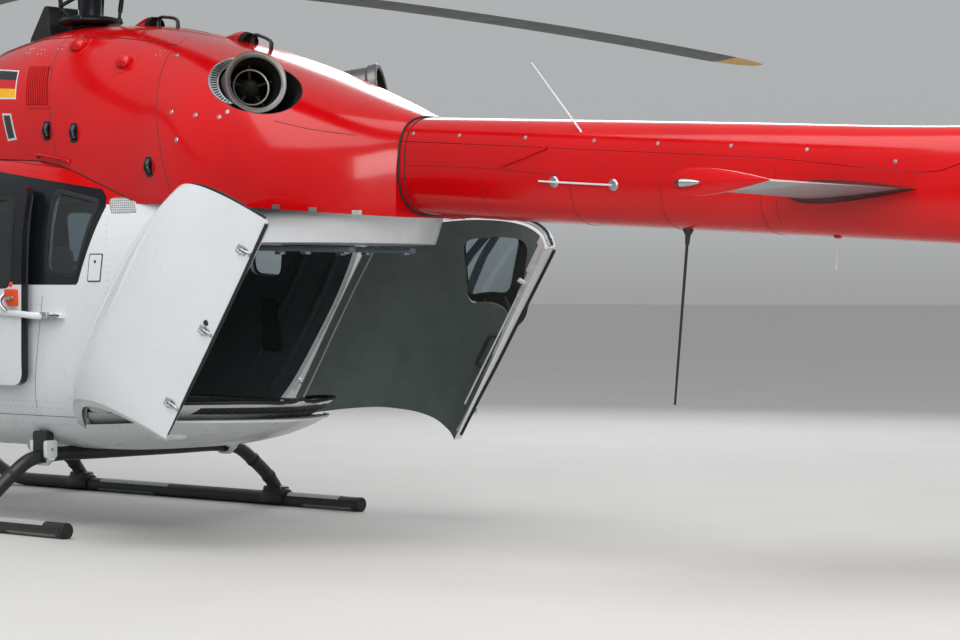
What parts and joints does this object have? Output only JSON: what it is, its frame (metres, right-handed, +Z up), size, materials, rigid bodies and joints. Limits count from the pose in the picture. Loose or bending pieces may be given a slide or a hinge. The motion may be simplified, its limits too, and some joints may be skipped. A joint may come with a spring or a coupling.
{
  "type": "light twin-engine rescue helicopter",
  "caption": "Light rescue helicopter on skids, with a bearingless main rotor, a shrouded tail rotor and open rear clamshell doors.",
  "frame": {"origin": "on the ground, under the middle of the overall size", "axes": "+X forward to the nose, +Y to the helicopter's left, +Z up"},
  "size_m": [13.4905, 10.701, 3.9778],
  "materials": {
    "red_paint": "glossy red paint on composite",
    "white_paint": "glossy white paint on composite",
    "grey_paint": "satin grey",
    "black_paint": "satin black enamel",
    "dark_composite": "dark grey satin",
    "hub_metal": "dark anodised",
    "bare_metal": "cast, bare",
    "exhaust_steel": "heat-tinted brushed steel",
    "clear_glass": "clear, lightly tinted acrylic",
    "floor_panel": "dark grey non-slip",
    "moulded_plastic": "matt charcoal",
    "seat_fabric": "woven dark blue-grey"
  },
  "bodies": {
    "airframe": {"front_cowl": "red_paint", "engine_cowl_left": "red_paint", "engine_cowl_right": "red_paint", "aft_cowl": "red_paint", "tail_boom": "red_paint", "driveshaft_cover": "red_paint", "tail_fin": "red_paint", "cabin_frame": "white_paint", "nose_cone": "white_paint", "belly": "white_paint", "rear_roof": "white_paint", "sliding_door_left": "white_paint", "sliding_door_right": "white_paint", "antenna_upper": "white_paint", "stabiliser_left": "grey_paint", "stabiliser_right": "grey_paint", "skid_left": "black_paint", "skid_right": "black_paint", "crosstube_front": "black_paint", "crosstube_rear": "black_paint", "mast_fairing": "black_paint", "antenna_lower": "black_paint", "engine_left": "bare_metal", "engine_right": "bare_metal", "gearbox": "bare_metal", "exhaust_left": "exhaust_steel", "exhaust_right": "exhaust_steel", "windscreen_left": "clear_glass", "windscreen_right": "clear_glass", "chin_window_left": "clear_glass", "chin_window_right": "clear_glass", "rear_window_left": "clear_glass", "rear_window_right": "clear_glass", "roof_window_left": "clear_glass", "roof_window_right": "clear_glass", "sliding_glass_left": "clear_glass", "sliding_glass_right": "clear_glass", "floor": "floor_panel", "seat_frame_left": "moulded_plastic", "seat_frame_right": "moulded_plastic", "instrument_panel": "moulded_plastic", "centre_console": "moulded_plastic", "seat_cushion_left": "seat_fabric", "seat_cushion_right": "seat_fabric", "seat_back_left": "seat_fabric", "seat_back_right": "seat_fabric"},
    "main_rotor": {"rotor_head": "hub_metal", "swashplate": "hub_metal", "main_blade_1": "dark_composite", "main_blade_2": "dark_composite", "main_blade_3": "dark_composite", "main_blade_4": "dark_composite"},
    "tail_rotor_assembly": {"tail_rotor": "grey_paint"},
    "clamshell_door_left": {"clamshell_left": "white_paint"},
    "clamshell_door_right": {"clamshell_right": "white_paint", "clamshell_glass_right": "clear_glass"},
    "front_door_left": {"cockpit_door_left": "white_paint", "cockpit_glass_left": "clear_glass"},
    "front_door_right": {"cockpit_door_right": "white_paint", "cockpit_glass_right": "clear_glass"}
  },
  "joints": [
    {"name": "main_rotor_turn", "type": "hinge", "parent": "airframe", "child": "main_rotor", "pos_m": [1.388, 0, 3.2], "axis": [0, 0, 1], "continuous": true},
    {"name": "tail_rotor_turn", "type": "hinge", "parent": "airframe", "child": "tail_rotor_assembly", "pos_m": [-5.962, 0.08, 2.19], "axis": [0, 1, 0], "continuous": true},
    {"name": "clamshell_left_swing", "type": "hinge", "parent": "airframe", "child": "clamshell_door_left", "pos_m": [0.571, 0.9, 0.65], "axis": [-0.5798, -0.0674, 0.812], "range_deg": [-30, 68.2]},
    {"name": "clamshell_right_swing", "type": "hinge", "parent": "airframe", "child": "clamshell_door_right", "pos_m": [0.571, -0.9, 0.65], "axis": [-0.5798, 0.0674, 0.812], "range_deg": [-45.8, 52]},
    {"name": "front_door_left_swing", "type": "hinge", "parent": "airframe", "child": "front_door_left", "pos_m": [3.988, 0.785, 0.9], "axis": [0, 0, 1], "range_deg": [-75, 0]},
    {"name": "front_door_right_swing", "type": "hinge", "parent": "airframe", "child": "front_door_right", "pos_m": [3.988, -0.785, 0.9], "axis": [0, 0, 1], "range_deg": [0, 75]}
  ]
}
